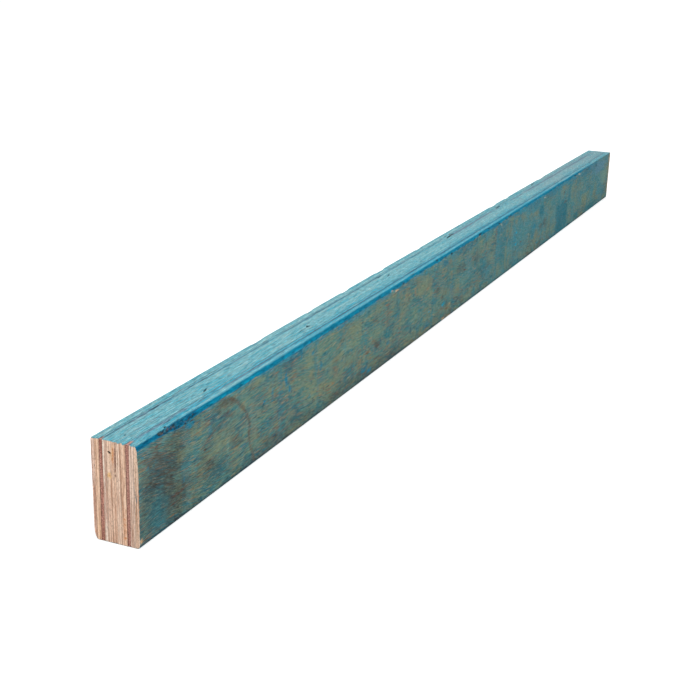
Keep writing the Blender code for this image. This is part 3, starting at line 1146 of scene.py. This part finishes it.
def make_glue_line(number, y):
    """The cured glue between two plies, a shade below the surfaces beside it."""
    node = f"glue_line_{number:02d}_{number + 1:02d}"
    xs = stations_along(LOW[0], HIGH[0])
    half = GLUE_HALF - HAIRLINE
    sheet = Sheet(xs, np.array([y - half, y + half]), INNER_ROWS, 0)
    points = sheet.points
    normal = sheet.normals()
    sealed = (normal != 0).any(1)
    depth = MM * (0.10 + 0.10 * np.abs(noise(points, (4 * MM, 4 * MM, 4 * MM), 41, 2)))
    points[:, 1:] -= normal * (depth * sealed)[:, None]
    ends = np.where(sheet.ring == 0, 1.0, 0.0) - np.where(sheet.ring == len(xs) - 1, 1.0, 0.0)
    points[:, 0] += ends * depth
    paint = np.clip(0.85 + 0.4 * noise(points, (30 * MM, 2 * MM, 5 * MM), 43, 2), 0, 1)
    faces, owners = sheet.faces()
    masks = {"cover": paint * sealed * (ends == 0)}
    piece = build_mesh("cured_" + node, points, faces, [0] * len(owners), [GLUE], masks)
    fit_out(piece, node)


def make_timber():
    """All veneers and glue lines."""
    joints = joint_places()
    for ply, nodes in enumerate(PLIES):
        y_high = HALF if ply == 0 else joints[ply - 1] - GLUE_HALF
        y_low = -HALF if ply == LAST_PLY else joints[ply] + GLUE_HALF
        for node in nodes:
            make_veneer(node, ply, y_low, y_high)
    for number, y in enumerate(joints, start=1):
        make_glue_line(number, y)


# ---- stage


def make_floor():
    """A white sweep that keeps the timber's soft shadow."""
    bpy.ops.mesh.primitive_plane_add(size=FLOOR_SIZE, location=(0, 0, 0))
    floor = bpy.context.object
    floor.name = "studio_floor"
    material = bpy.data.materials.new("studio_white")
    material.use_nodes = True
    tree = material.node_tree
    shader = tree.nodes["Principled BSDF"]
    shader.inputs["Base Color"].default_value = (FLOOR_GREY, FLOOR_GREY, FLOOR_GREY, 1)
    shader.inputs["Roughness"].default_value = 0.9
    shader.inputs["Specular IOR Level"].default_value = 0.1
    glow = tree.nodes.new("ShaderNodeEmission")
    glow.inputs["Strength"].default_value = FLOOR_GLOW
    both = tree.nodes.new("ShaderNodeAddShader")
    path = tree.nodes.new("ShaderNodeLightPath")
    choice = tree.nodes.new("ShaderNodeMixShader")
    for output, socket in (
        (shader.outputs[0], both.inputs[0]),
        (glow.outputs[0], both.inputs[1]),
        (path.outputs["Is Camera Ray"], choice.inputs[0]),
        (shader.outputs[0], choice.inputs[1]),
        (both.outputs[0], choice.inputs[2]),
        (choice.outputs[0], tree.nodes["Material Output"].inputs["Surface"]),
    ):
        tree.links.new(output, socket)
    floor.data.materials.append(material)


def make_world():
    """White all round: full white to the camera, and a plain fill light to the timber."""
    world = bpy.data.worlds.new("studio")
    world.use_nodes = True
    tree = world.node_tree
    background = tree.nodes["Background"]
    background.inputs["Color"].default_value = (1, 1, 1, 1)
    path = tree.nodes.new("ShaderNodeLightPath")
    strength = tree.nodes.new("ShaderNodeMapRange")
    strength.inputs["To Min"].default_value = WORLD_FILL
    strength.inputs["To Max"].default_value = 1.0
    tree.links.new(path.outputs["Is Camera Ray"], strength.inputs["Value"])
    tree.links.new(strength.outputs["Result"], background.inputs["Strength"])
    bpy.context.scene.world = world


def add_softbox(name, place, aim, size, power):
    """A square area light that looks at a point."""
    light = bpy.data.lights.new(name, "AREA")
    light.shape = "SQUARE"
    light.size = size
    light.energy = power
    lamp = bpy.data.objects.new(name, light)
    lamp.location = place
    lamp.rotation_euler = (Vector(place) - Vector(aim)).to_track_quat("Z", "Y").to_euler()
    bpy.context.collection.objects.link(lamp)


def make_camera():
    """The photograph's viewpoint."""
    data = bpy.data.cameras.new("photo_camera")
    data.sensor_width = SENSOR_MM
    data.lens = FOCAL_PIXELS / PHOTO_WIDTH * SENSOR_MM
    data.clip_start = 0.05
    camera = bpy.data.objects.new("photo_camera", data)
    turn = Matrix.Rotation(math.radians(CAMERA_YAW - 90), 4, "Z")
    tilt = Matrix.Rotation(math.radians(90 - CAMERA_PITCH), 4, "X")
    roll = Matrix.Rotation(math.radians(CAMERA_ROLL), 4, "Z")
    camera.matrix_world = Matrix.Translation(CAMERA_PLACE) @ turn @ tilt @ roll
    bpy.context.collection.objects.link(camera)
    bpy.context.scene.camera = camera


SEALED = {cross: sealed_wood(cross) for cross in (False, True)}
SAWN = [sawn_wood(ply) for ply in range(len(PLIES))]
PEELED = peeled_wood()
GLUE = cured_glue()

make_timber()
make_floor()
make_world()
for softbox, (place, aim, size, power) in SOFTBOXES.items():
    add_softbox(softbox, place, aim, size, power)
make_camera()
bpy.context.scene.view_settings.view_transform = "Standard"
